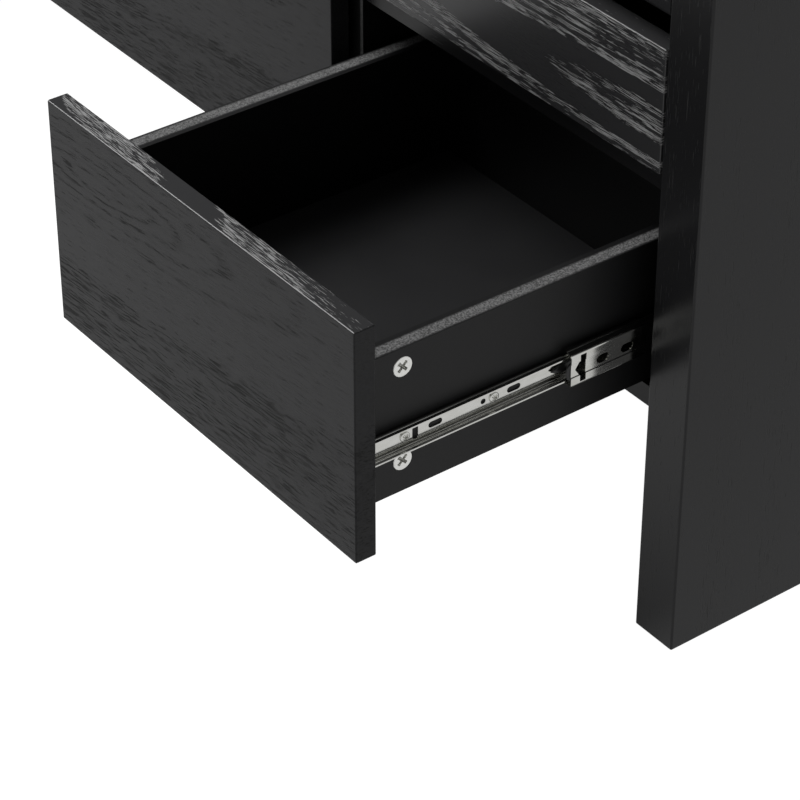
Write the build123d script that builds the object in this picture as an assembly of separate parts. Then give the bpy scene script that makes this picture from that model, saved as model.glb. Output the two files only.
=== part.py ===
from build123d import *
import os

# Low drawer cabinet on two slab legs: two columns of handle-less drawers on telescopic runners.
# Millimetres, +X to the right, +Y to the back, +Z up.  The origin lies on the floor, at the middle
# of the footprint that the cabinet takes up with its narrow lower drawer standing open.
os.makedirs("parts", exist_ok=True)

# Boards
slab = 38.0                 # legs and top
board = 16.0                # fronts, base and divider
box_board = 15.0            # drawer sides and backs
thin_board = 5.0            # drawer bottoms and cabinet back
slab_round = 1.5            # eased edges of legs and top
front_round = 1.0           # eased edges of the fronts

# Cabinet
floor_clearance = 166.0     # floor to the underside of base and fronts
cabinet_depth = 380.0       # front faces to the rear edges of the legs
front_setback = 4.0         # back of the closed fronts to the cabinet's front edges
back_inset = 5.0            # rear face of the back panel inside the legs' rear edges
stretcher_depth = 45.0      # boards across the cabinet behind the finger gaps
stretcher_drop = 4.7        # their lower edges below the lower fronts' upper edges

# Fronts
narrow_width = 347.0
wide_width = 728.0
lower_height = 176.0
upper_height = 89.4
finger_gap = 22.8           # between the lower and the upper fronts
top_gap = 25.3              # between the upper fronts and the top
front_gap = 6.0             # between the two columns
end_gap = 1.5               # between the fronts' ends and the legs

# Drawer boxes
box_depth = 315.0           # length of a drawer side
lower_side_height = 110.0
upper_side_height = 64.0
lower_side_lift = 25.0      # lower edge of the side above the lower edge of the front
upper_side_lift = 12.0
lower_runner_lift = 43.0    # middle of the runner above the lower edge of the side
upper_runner_lift = 32.0
groove_lift = 8.0           # groove for the bottom above the lower edge of the side
groove_depth = 5.0
groove_play = 0.2
drawer_opening = 239.0      # how far the narrow lower drawer stands open

# Telescopic runners: drawer rail inside middle rail inside cabinet rail
runner_length = 300.0
runner_width = 12.7         # drawer side to cabinet wall
runner_setback = 3.0        # behind the cabinet's front edges
sheet = 1.1                 # rolled steel
drawer_rail_height = 18.6
inner_ball_gap = 2.3        # between the flanges of drawer rail and middle rail
outer_ball_gap = 3.7        # between the flanges of middle rail and cabinet rail
web_gap = 1.5               # middle rail's web to cabinet rail's web
race_width = 2.4
race_depth = 0.6
race_lip = 0.5              # flange beyond a race
outer_race_at = 7.0         # from the drawer side
rail_bend = 0.5             # inside radius between web and flange
race_start = 1.0            # drawer rail's bend to its race
drawer_lip = 1.4            # drawer rail's flange beyond its race
band_width = 11.0           # band pressed into the middle rail's web
band_depth = 0.6
running_gap = 0.3           # ball cages to the rails
middle_share = 0.347        # the middle rails' share of the drawer's travel
spacer_height = 45.0        # strip that packs a runner off the leg

# Places along a runner, from its front end
rail_screws = (27.5, 99.0, 262.0)
upright_slot = 36.0
long_slots = (52.0, 115.5, 205.0, 240.0)
small_hole = 90.5
slot_length = 11.0
slot_width = 4.6
small_hole_radius = 2.0
window_at = 10.0
window_width = 4.8
window_height = 21.0
window_flare_height = 12.0  # flare at the front of the window
window_flare_width = 4.0
middle_slots = (27.0, 47.6, 150.0)
middle_slot_length = 10.5
middle_slot_width = 6.4
cabinet_screws = (60.0, 265.0)
cage_length = 60.0
inner_cage_at = 14.0
outer_cage_at = 205.0
lever_at = 145.0
lever_length = 30.0
lever_tip = 9.0
lever_width = 7.0
lever_thick = 2.2

# Fittings
cam_radius = 7.5
cam_thick = 12.0
cam_reach = 34.0            # middle of a cam to the board that it pulls up
cam_low = 24.0              # from the lower edge of a tall side
cam_high = 14.0             # from the upper edge of a side
cam_inset = 60.0            # along the cabinet, from front and rear edges
cross_length = 8.0
cross_width = 1.3
cross_depth = 1.6
bolt_radius = 3.5
bolt_seat = 10.0
dowel_radius = 4.0
dowel_in_face = 9.0
dowel_in_end = 20.0
dowel_inset = 110.0
fit = 0.1                   # radial play of fittings in their holes
overcut = 1.0               # how far a bore for a bolt runs past the joint between two boards
screw_radius = 1.75
screw_head_radius = 3.7
screw_head = 1.6
head_clearance = 0.6        # heads in the cabinet rails to the middle rails
screw_grip = 11.0
divider_grip = 7.0
back_screws_across = 5      # along the base
back_screws_up = 2          # up the divider
back_screw_edge = 40.0
box_screw_edge = 14.0
spacer_overrun = 3.0        # spacer strip beyond each end of its runner

# Derived sizes
width = 2 * (slab + end_gap) + wide_width + front_gap + narrow_width
front_y = -(cabinet_depth - drawer_opening) / 2
back_y = front_y + cabinet_depth
cabinet_y = front_y + board + front_setback
rear_y = back_y - back_inset - thin_board
runner_y = cabinet_y + runner_setback
right_x = width / 2
lower_z = floor_clearance
upper_z = lower_z + lower_height + finger_gap
top_z = upper_z + upper_height + top_gap
height = top_z + slab
base_z = floor_clearance + board
wide_x = -right_x + slab + end_gap
narrow_x = wide_x + wide_width + front_gap
divider_x = narrow_x - front_gap / 2
wall_overlap = (board - front_gap) / 2
side_inset = wall_overlap + runner_width
spacer_thick = wall_overlap + end_gap
middle_web = runner_width - sheet - web_gap
inner_race_at = sheet + rail_bend + race_start
flat_head = web_gap - head_clearance
middle_rail_height = drawer_rail_height + 2 * (inner_ball_gap + sheet)
cabinet_rail_height = middle_rail_height + 2 * (outer_ball_gap + sheet)
leg_inner = right_x - slab

CENTRED_UP = (Align.CENTER, Align.CENTER, Align.MIN)
EIGHTH = 0.5 ** 0.5         # sine and cosine of an eighth of a turn


def block(x0, x1, y0, y1, z0, z1):
    """Square-edged board between two corners."""
    middle = Pos((x0 + x1) / 2, (y0 + y1) / 2, (z0 + z1) / 2)
    return middle * Box(x1 - x0, y1 - y0, z1 - z0)


def rod(start, direction, radius, length):
    """Round bar from a point along a direction."""
    return Plane(start, z_dir=direction) * Cylinder(radius, length, align=CENTRED_UP)


def eased(solid, radius):
    """Board with all its edges rounded a little."""
    return fillet(solid.edges(), radius)


def save(node, *solids):
    """Write one node: a single solid, or a group of like ones."""
    shape = solids[0] if len(solids) == 1 else Compound(children=list(solids))
    export_step(shape, f"parts/{node}.step")


class CamFitting:
    """Cam in a board's face, and the bolt that it draws out of the next board.

    The frame has its origin at the middle of the cam's face, Z out of that face and X to the
    next board; thick is the thickness of the board that holds the cam.
    """

    def __init__(self, origin, out, towards, thick):
        self.frame = Plane(origin, x_dir=towards, z_dir=out)
        self.axis = -thick / 2

    def cam(self):
        slot = Box(cross_length, cross_width, 2 * cross_depth)
        body = Pos(0, 0, -cam_thick) * Cylinder(cam_radius, cam_thick, align=CENTRED_UP)
        return self.frame * (body - Rot(0, 0, 45) * slot - Rot(0, 0, -45) * slot)

    def along(self, start, length, radius):
        return self.frame * rod((start, 0, self.axis), (1, 0, 0), radius, length)

    def bolt(self):
        return self.along(cam_radius + fit, cam_reach - cam_radius - fit + bolt_seat, bolt_radius)

    def pocket(self):
        hole = Pos(0, 0, -cam_thick) * Cylinder(cam_radius + fit, 2 * cam_thick, align=CENTRED_UP)
        return self.frame * hole + self.along(0, cam_reach + overcut, bolt_radius + fit)

    def seat(self):
        return self.along(cam_reach - overcut, overcut + bolt_seat, bolt_radius + fit)


def screw(start, direction, grip, head):
    """Round-headed screw: start lies under the head, direction points along the shank."""
    into = Vector(*direction)
    return rod(start, -into, screw_head_radius, head) + rod(start, into, screw_radius, grip)


def screw_hole(start, direction, grip):
    """Hole for a screw's shank, with room for a head that is sunk into the board."""
    into = Vector(*direction)
    shank = rod(start, into, screw_radius + fit, grip + fit)
    return shank + rod(start, -into, screw_head_radius + fit, screw_head)


def channel(web, side, tall, race_at, lip):
    """Rolled channel section in (out from the drawer side, up), with a ball race in each flange.

    web is the outer face of the web, and side says which way the flanges reach from there: out
    (1), with their races outside, or in to the drawer side (-1), with their races inside.  lip is
    the flange beyond the race.
    """
    half = tall / 2
    inner = half - sheet
    inside = web + side * sheet
    turned = inside + side * rail_bend
    drop = inner - rail_bend
    outer_bend = rail_bend + sheet
    outer_mid = (turned - side * outer_bend * EIGHTH, drop + outer_bend * EIGHTH)
    inner_mid = (turned - side * rail_bend * EIGHTH, drop + rail_bend * EIGHTH)
    near, far = sorted((race_at, race_at + race_width), reverse=side < 0)
    tip = far + side * lip
    press = -side * race_depth
    centre = (near + far) / 2
    with BuildSketch() as section:
        with BuildLine():
            Line((web, 0), (web, drop))
            ThreePointArc((web, drop), outer_mid, (turned, half))
            Line((turned, half), (near, half))
            ThreePointArc((near, half), (centre, half + press), (far, half))
            Line((far, half), (tip, half))
            Line((tip, half), (tip, inner))
            Line((tip, inner), (far, inner))
            ThreePointArc((far, inner), (centre, inner + press), (near, inner))
            Line((near, inner), (turned, inner))
            ThreePointArc((turned, inner), inner_mid, (inside, drop))
            Line((inside, drop), (inside, 0))
            Line((inside, 0), (web, 0))
        make_face()
        mirror(about=Plane.XZ)
    return section.sketch


def along_runner(section, length):
    """Section (out, up) carried to the back from the runner's front end."""
    return extrude(Plane((0, 0, 0), x_dir=(1, 0, 0), z_dir=(0, -1, 0)) * section, -length)


def web_slot(place, length, wide):
    """Oblong hole through any web, at a distance from the front end."""
    section = Pos(place, 0) * SlotOverall(length, wide)
    return extrude(Plane.YZ * section, runner_width, both=True)


def drawer_rail():
    section = channel(0, 1, drawer_rail_height, inner_race_at, drawer_lip)
    rail = along_runner(section, runner_length)
    for place in long_slots:
        rail -= web_slot(place, slot_length, slot_width)
    upright = Rot(0, 0, 90) * SlotOverall(slot_length, slot_width)
    rail -= extrude(Plane.YZ * (Pos(upright_slot, 0) * upright), runner_width, both=True)
    rail -= rod((0, small_hole, 0), (1, 0, 0), small_hole_radius, sheet)
    for place in rail_screws:
        rail -= rod((0, place, 0), (1, 0, 0), screw_radius + fit, sheet)
    return rail


def middle_rail():
    """Middle channel, with a band pressed into its web, slots, and a window behind its front end."""
    section = channel(middle_web, -1, middle_rail_height, inner_race_at, race_lip)
    wide = band_width / 2
    narrow = wide - band_depth
    deep = middle_web - band_depth
    band = Polygon((middle_web, wide), (deep, narrow), (deep, -narrow), (middle_web, -wide), align=None)
    section = section - band + Pos(-sheet, 0) * band
    rail = along_runner(section, runner_length)
    for place in middle_slots:
        rail -= web_slot(place, middle_slot_length, middle_slot_width)
    half = window_width / 2
    with BuildSketch(Plane.YZ) as window:
        with Locations((window_at, 0)):
            Rectangle(window_width, window_height)
        with BuildLine():
            Polyline(
                (window_at - half, window_flare_height / 2),
                (window_at - half - window_flare_width, 0),
                (window_at - half, -window_flare_height / 2),
                close=True,
            )
        make_face()
    return rail - extrude(window.sketch, runner_width)


def cabinet_rail():
    section = channel(runner_width, -1, cabinet_rail_height, outer_race_at, race_lip)
    rail = along_runner(section, runner_length)
    for place in cabinet_screws:
        rail -= rod((runner_width - sheet, place, 0), (1, 0, 0), screw_radius + fit, sheet)
    return rail


def ball_cages():
    """Strips that keep the balls apart, above and below, in both pairs of races."""
    pairs = (
        (inner_race_at, inner_cage_at, drawer_rail_height / 2, middle_rail_height / 2 - sheet),
        (outer_race_at, outer_cage_at, middle_rail_height / 2, cabinet_rail_height / 2 - sheet),
    )
    strips = []
    for race_at, place, low, high in pairs:
        low, high = low + running_gap, high - running_gap
        for z0, z1 in ((low, high), (-high, -low)):
            strips.append(block(race_at, race_at + race_width, place, place + cage_length, z0, z1))
    return strips


def release_lever():
    """Pointed tongue in the drawer rail that lets the drawer off its runner."""
    half = lever_width / 2
    with BuildSketch(Plane.YZ) as tongue:
        with BuildLine():
            Polyline(
                (lever_at, 0),
                (lever_at + lever_tip, half),
                (lever_at + lever_length, half),
                (lever_at + lever_length, -half),
                (lever_at + lever_tip, -half),
                close=True,
            )
        make_face()
    return Pos(sheet, 0, 0) * extrude(tongue.sketch, lever_thick)


class Drawer:
    """One drawer: its front between x0 and x1 with the lower edge at z0, beside one of the legs."""

    def __init__(self, name, x0, x1, z0, tall, side_lift, side_tall, runner_lift, leg, opening=0):
        self.name, self.x0, self.x1, self.z0, self.tall = name, x0, x1, z0, tall
        self.face_y = front_y - opening
        self.inner_y = self.face_y + board
        self.end_y = self.inner_y + box_depth
        self.side_z = z0 + side_lift
        self.side_top = self.side_z + side_tall
        self.runner_z = self.side_z + runner_lift
        self.bottom_z = self.side_z + groove_lift
        self.floor_z = self.bottom_z + thin_board
        self.rail_y = runner_y - opening
        self.opening = opening
        self.leg = leg
        self.cams = [self.side_top - cam_high]
        if runner_lift - drawer_rail_height / 2 > cam_low + cam_radius:
            self.cams.append(self.side_z + cam_low)
        # Outer faces of the two sides, and which way they look
        self.sides = {"left": (x0 + side_inset, -1), "right": (x1 - side_inset, 1)}

    def fittings(self, hand):
        """Cams in one side, each drawing the front up to it."""
        outer, out = self.sides[hand]
        y = self.inner_y + cam_reach
        return [CamFitting((outer, y, z), (out, 0, 0), (0, -1, 0), box_board) for z in self.cams]

    def rail_fixings(self, hand):
        """Screws that hold the drawer rail on a side: place, direction, grip."""
        outer, out = self.sides[hand]
        places = [(outer + out * sheet, self.rail_y + along, self.runner_z) for along in rail_screws]
        return [(place, (-out, 0, 0), screw_grip) for place in places]

    def back_fixings(self, hand):
        """Screws sunk into a side that hold the end of the back: place, direction, grip."""
        outer, out = self.sides[hand]
        heights = (self.floor_z + box_screw_edge, self.side_top - box_screw_edge)
        places = [(outer - out * screw_head, self.end_y - box_board / 2, z) for z in heights]
        return [(place, (-out, 0, 0), box_board + screw_grip) for place in places]

    def runner_fixings(self, hand):
        """Screws that hold the cabinet rail on the divider, or through a spacer on the leg."""
        outer, out = self.sides[hand]
        grip = sheet + (spacer_thick + screw_grip if hand == self.leg else divider_grip)
        x = outer + out * (runner_width - sheet)
        return [((x, runner_y + along, self.runner_z), (out, 0, 0), grip) for along in cabinet_screws]

    def front(self):
        z1 = self.z0 + self.tall
        panel = eased(block(self.x0, self.x1, self.face_y, self.inner_y, self.z0, z1), front_round)
        fittings = self.fittings("left") + self.fittings("right")
        return panel.cut(*[fitting.seat() for fitting in fittings])

    def side(self, hand):
        outer, out = self.sides[hand]
        inner = outer - out * box_board
        x0, x1 = sorted((outer, inner))
        g0, g1 = sorted((inner, inner + out * groove_depth))
        panel = block(x0, x1, self.inner_y, self.end_y, self.side_z, self.side_top)
        groove = block(g0, g1, self.inner_y, self.end_y, self.bottom_z, self.floor_z + groove_play)
        holes = [fitting.pocket() for fitting in self.fittings(hand)]
        holes += [screw_hole(*fixing) for fixing in self.rail_fixings(hand) + self.back_fixings(hand)]
        return panel.cut(groove, *holes)

    def back(self):
        x0 = self.sides["left"][0] + box_board
        x1 = self.sides["right"][0] - box_board
        panel = block(x0, x1, self.end_y - box_board, self.end_y, self.floor_z, self.side_top)
        fixings = self.back_fixings("left") + self.back_fixings("right")
        return panel.cut(*[screw_hole(*fixing) for fixing in fixings])

    def bottom(self):
        reach = box_board - groove_depth + groove_play
        x0 = self.sides["left"][0] + reach
        x1 = self.sides["right"][0] - reach
        return block(x0, x1, self.inner_y, self.end_y, self.bottom_z, self.floor_z)

    def spacer(self):
        """Strip that packs the runner off the leg."""
        outer, out = self.sides[self.leg]
        x0, x1 = sorted((outer + out * runner_width, out * leg_inner))
        y0, y1 = runner_y - spacer_overrun, runner_y + runner_length + spacer_overrun
        half = spacer_height / 2
        strip = block(x0, x1, y0, y1, self.runner_z - half, self.runner_z + half)
        return strip.cut(*[screw_hole(*fixing) for fixing in self.runner_fixings(self.leg)])

    def runners(self, shapes, travel):
        """Runner pieces on both sides, drawn out by travel; those on the left are mirrored."""
        placed = []
        for outer, out in self.sides.values():
            for shape in shapes:
                handed = shape if out > 0 else mirror(shape, about=Plane.YZ)
                placed.append(Pos(outer, runner_y - travel, self.runner_z) * handed)
        return placed

    def write(self):
        fittings = self.fittings("left") + self.fittings("right")
        fixings = [f for hand in self.sides for f in self.rail_fixings(hand) + self.back_fixings(hand)]
        middle_travel = self.opening * middle_share
        save(f"{self.name}_front", self.front())
        for hand in self.sides:
            save(f"{self.name}_{hand}_side", self.side(hand))
        save(f"{self.name}_back", self.back())
        save(f"{self.name}_bottom", self.bottom())
        save(f"{self.name}_cam_fittings", *[piece for f in fittings for piece in (f.cam(), f.bolt())])
        save(f"{self.name}_screws", *[screw(*fixing, screw_head) for fixing in fixings])
        save(f"{self.name}_drawer_rails", *self.runners([drawer_rail()], self.opening))
        save(f"{self.name}_release_levers", *self.runners([release_lever()], self.opening))
        save(f"{self.name}_middle_rails", *self.runners([middle_rail()], middle_travel))
        save(f"{self.name}_ball_cages", *self.runners(ball_cages(), middle_travel))
        save(f"{self.name}_cabinet_rails", *self.runners([cabinet_rail()], 0))


# Drawers
lower = (lower_z, lower_height, lower_side_lift, lower_side_height, lower_runner_lift)
upper = (upper_z, upper_height, upper_side_lift, upper_side_height, upper_runner_lift)
narrow_end = narrow_x + narrow_width
wide_end = wide_x + wide_width
drawers = [
    Drawer("narrow_lower", narrow_x, narrow_end, *lower, "right", drawer_opening),
    Drawer("narrow_upper", narrow_x, narrow_end, *upper, "right"),
    Drawer("wide_lower", wide_x, wide_end, *lower, "left"),
    Drawer("wide_upper", wide_x, wide_end, *upper, "left"),
]
for drawer in drawers:
    drawer.write()

# Fittings of the cabinet: base and top between the legs, divider between base and top
cam_places = (cabinet_y + cam_inset, rear_y - cam_inset)
dowel_places = (cabinet_y + dowel_inset, rear_y - dowel_inset)
leg_fittings = []
dowels = []
for out in (-1, 1):
    for z in (floor_clearance, top_z):
        for y in cam_places:
            face = (out * (leg_inner - cam_reach), y, z)
            leg_fittings.append(CamFitting(face, (0, 0, -1), (out, 0, 0), board))
        for y in dowel_places:
            dowels.append(((out * (leg_inner - dowel_in_end), y, z + board / 2), (out, 0, 0)))
for y in dowel_places:
    dowels.append(((divider_x, y, base_z + dowel_in_end), (0, 0, -1)))
    dowels.append(((divider_x, y, top_z - dowel_in_end), (0, 0, 1)))

# Stretchers from the divider to the legs, behind the finger gaps and under the top
rooms = (
    (-leg_inner, divider_x - board / 2, stretcher_depth / 3),
    (divider_x + board / 2, leg_inner, stretcher_depth * 2 / 3),
)
stretchers = []
for x0, x1, inset in rooms:
    for z in (lower_z + lower_height - stretcher_drop, top_z - board):
        stretchers.append(block(x0, x1, cabinet_y, cabinet_y + stretcher_depth, z, z + board))
        for x, out in ((x0 + dowel_in_end, -1), (x1 - dowel_in_end, 1)):
            dowels.append(((x, cabinet_y + inset, z + board / 2), (out, 0, 0)))
dowel_length = dowel_in_end + dowel_in_face
dowel_holes = [rod(*place, dowel_radius + fit, dowel_length + fit) for place in dowels]
runner_fixings = [f for drawer in drawers for hand in drawer.sides for f in drawer.runner_fixings(hand)]
runner_holes = [screw_hole(*fixing) for fixing in runner_fixings]
save("panel_cam_fittings", *[piece for f in leg_fittings for piece in (f.cam(), f.bolt())])
save("dowels", *[rod(*place, dowel_radius, dowel_length) for place in dowels])
save("stretchers", *[stretcher.cut(*dowel_holes) for stretcher in stretchers])
save("runner_screws", *[screw(*fixing, flat_head) for fixing in runner_fixings])
save("runner_spacers", *[drawer.spacer() for drawer in drawers])

# Screws of the back panel, into the rear edges of the base and the divider
back_face_y = rear_y + thin_board
back_reach = leg_inner - back_screw_edge
pitch_across = 2 * back_reach / (back_screws_across - 1)
pitch_up = (top_z - base_z) / (back_screws_up + 1)
back_places = [
    (step * pitch_across - back_reach, floor_clearance + board / 2)
    for step in range(back_screws_across)
]
back_places += [(divider_x, top_z - (step + 1) * pitch_up) for step in range(back_screws_up)]
back_fixings = [((x, back_face_y, z), (0, -1, 0), thin_board + screw_grip) for x, z in back_places]
back_holes = [screw_hole(*fixing) for fixing in back_fixings]
save("back_screws", *[screw(*fixing, screw_head) for fixing in back_fixings])

# Legs
leg_seats = [fitting.seat() for fitting in leg_fittings]
for hand, out in (("left", -1), ("right", 1)):
    x0, x1 = sorted((out * leg_inner, out * right_x))
    leg = eased(block(x0, x1, front_y, back_y, 0, height), slab_round)
    save(f"{hand}_leg", leg.cut(*leg_seats, *dowel_holes, *runner_holes))

# Top, base, divider and back
leg_pockets = [fitting.pocket() for fitting in leg_fittings]
top = block(-leg_inner, leg_inner, front_y, back_y, top_z, height)
top = fillet(top.edges().filter_by(Axis.X), slab_round)
save("top_panel", top.cut(*leg_pockets, *dowel_holes))
base = block(-leg_inner, leg_inner, cabinet_y, rear_y, floor_clearance, base_z)
save("base_panel", base.cut(*leg_pockets, *dowel_holes, *back_holes))
divider = block(divider_x - board / 2, divider_x + board / 2, cabinet_y, rear_y, base_z, top_z)
save("divider", divider.cut(*dowel_holes, *runner_holes, *back_holes))
back_panel = block(-leg_inner, leg_inner, rear_y, back_face_y, floor_clearance, top_z)
save("back_panel", back_panel.cut(*back_holes))
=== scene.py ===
import math

import bmesh
import bpy
import numpy as np
from mathutils import Matrix, Vector


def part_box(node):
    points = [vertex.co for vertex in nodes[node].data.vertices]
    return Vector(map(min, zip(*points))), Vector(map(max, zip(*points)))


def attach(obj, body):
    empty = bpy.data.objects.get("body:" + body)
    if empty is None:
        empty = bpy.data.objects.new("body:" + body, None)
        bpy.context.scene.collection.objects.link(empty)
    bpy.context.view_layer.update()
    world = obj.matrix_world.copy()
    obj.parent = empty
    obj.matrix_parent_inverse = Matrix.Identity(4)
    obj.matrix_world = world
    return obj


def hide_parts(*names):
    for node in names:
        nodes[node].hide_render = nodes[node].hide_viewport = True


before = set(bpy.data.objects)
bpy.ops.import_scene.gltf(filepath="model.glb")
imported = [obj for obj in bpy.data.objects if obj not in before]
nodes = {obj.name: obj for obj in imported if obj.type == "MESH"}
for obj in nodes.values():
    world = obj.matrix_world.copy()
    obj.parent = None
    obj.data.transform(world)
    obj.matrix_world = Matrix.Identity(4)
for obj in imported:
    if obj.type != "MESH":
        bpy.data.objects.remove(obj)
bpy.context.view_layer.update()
scene = bpy.context.scene

MM = 0.001
DRAWERS = ("narrow_lower", "narrow_upper", "wide_lower", "wide_upper")


def linear(code):
    """Linear RGBA of an sRGB hex colour."""
    srgb = np.array([int(code[k:k + 2], 16) for k in (1, 3, 5)]) / 255
    return (*np.where(srgb <= 0.04045, srgb / 12.92, ((srgb + 0.055) / 1.055) ** 2.4), 1.0)


def add(tree, kind, sockets=None, greys=(), **settings):
    """One node: settings are its own properties, and sockets its inputs, each a value or a node's output.

    greys are the stops of a colour ramp: place and grey.
    """
    made = tree.nodes.new(kind)
    for name, value in settings.items():
        setattr(made, name, value)
    if greys:
        made.color_ramp.elements.remove(made.color_ramp.elements[0])
    for count, (place, grey) in enumerate(greys):
        stop = made.color_ramp.elements.new(place) if count else made.color_ramp.elements[0]
        stop.position = place
        stop.color = (grey, grey, grey, 1)
    for key, value in (sockets or {}).items():
        if isinstance(value, bpy.types.NodeSocket):
            tree.links.new(value, made.inputs[key])
        else:
            made.inputs[key].default_value = value
    return made


def started(name):
    """Empty material with its shader, and the object coordinates that its patterns are laid out on."""
    material = bpy.data.materials.new(name)
    material.use_nodes = True
    tree = material.node_tree
    tree.nodes.clear()
    shader = add(tree, "ShaderNodeBsdfPrincipled")
    add(tree, "ShaderNodeOutputMaterial", {"Surface": shader.outputs["BSDF"]})
    place = add(tree, "ShaderNodeTexCoord").outputs["Object"]
    return material, tree, shader, place


def per_mm(*sizes):
    """Mapping scale that makes one unit of a pattern as long as each size in millimetres."""
    return tuple(1 / (size * MM) for size in sizes)


# Finishes: sizes are in millimetres unless a comment says otherwise

# Grain of the black oak foil: radius of a growth ring, and how crowded with pores it is there
PLAIN_RINGS = (
    (0, 0.1), (3.5, 0.0), (5, 0.7), (6.5, 0.1), (8.5, 0.0), (10, 0.8), (11.5, 0.1), (14, 0.0), (15.5, 0.7),
    (17.5, 0.1), (21, 0.0), (22.5, 0.6), (25, 0.1), (31, 0.1), (33, 0.5), (36, 0.1), (60, 0.1), (78, 0.2),
    (84, 0.55), (96, 0.6), (101, 0.3), (107, 0.55), (122, 0.5), (140, 0.4), (200, 0.3))
STREAKED_RINGS = (
    (0, 0.9), (4, 0.9), (5.5, 0.2), (7, 0.95), (11, 0.9), (13, 0.0), (23.5, 0.0), (25, 1.0), (30, 1.0),
    (31.5, 0.0), (33.5, 0.95), (36, 0.95), (37.5, 0.1), (39, 0.9), (41, 0.9), (42.5, 0.1), (44, 0.9),
    (47, 0.9), (48.5, 0.2), (50, 0.9), (60, 0.8), (63, 0.1), (72, 0.1), (75, 0.9), (90, 0.9), (96, 0.1),
    (120, 0.2), (130, 0.9), (200, 0.5))
QUIET_RINGS = ((0, 0.3), (40, 0.6), (50, 0.3), (90, 0.6), (100, 0.3), (150, 0.6), (200, 0.4))
RING_REACH = 200.0
RING_WANDER = 5.0               # how far the rings stray sideways
WANDER_SIZE = (170.0, 30.0, 30.0)
THINNING = (140.0, 30.0, 30.0)  # stretches along a board with more or fewer pores
THIN_NOISE = (0.38, 0.52)       # from this noise to this, a crowded ring adds these shares to its pores
THIN_SHARE = (0.2, 0.32)
PORE_FADE = 0.05                # how gradually a pore sinks in
TINT_NOISE = (0.35, 0.65)       # from this noise to this, the ring's tone shifts by these shares
TINT_SHIFT = (-0.25, 0.45)
FOIL_ROUGHNESS = (0.26, 0.6)    # between the pores and in them
FOIL_IOR = 1.5                  # foil, melamine and lacquer alike
FOIL_SHINE = 0.264              # specular level, matched

# Painted highlight streaks on a front's upper edge, along pores pressed into it: share of its length, and
# how crowded with pores it is there
STREAKED_STRIP = (
    (0, 0.0), (0.05, 0.0), (0.09, 1.0), (0.4, 1.0), (0.44, 0.15), (0.57, 0.15), (0.61, 1.0), (0.8, 1.0),
    (0.88, 0.7), (1.0, 0.55))
QUIET_STRIP = ((0, 0.2), (0.5, 0.2), (0.6, 0.5), (0.7, 0.2), (1.0, 0.3))
STRIP_DEPTH = 0.5               # how far the painted highlight on its front corner reaches back
STRIP_ARRIS = 0.7               # how far its bright front corner reaches back
STRIP_SKEW = 0.1                # how much further along its zones lie at the front
STRIP_WANDER = (60.0, 9.0, 9.0)
STRIP_STRAY = 0.2               # share of the length over which the zones' ends wander
STRIP_PORE = (11.0, 0.6, 0.6)
STRIP_SHARE = 0.3               # what a crowded zone adds to its pores
STRIP_BAR = (0.8, 0.88)         # where a pore starts and is full
# tones of the strip: a painted sheen, and painted highlights in its pores
STRIP_HIGHLIGHT_TONES = ("#363637", "#949494")


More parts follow.
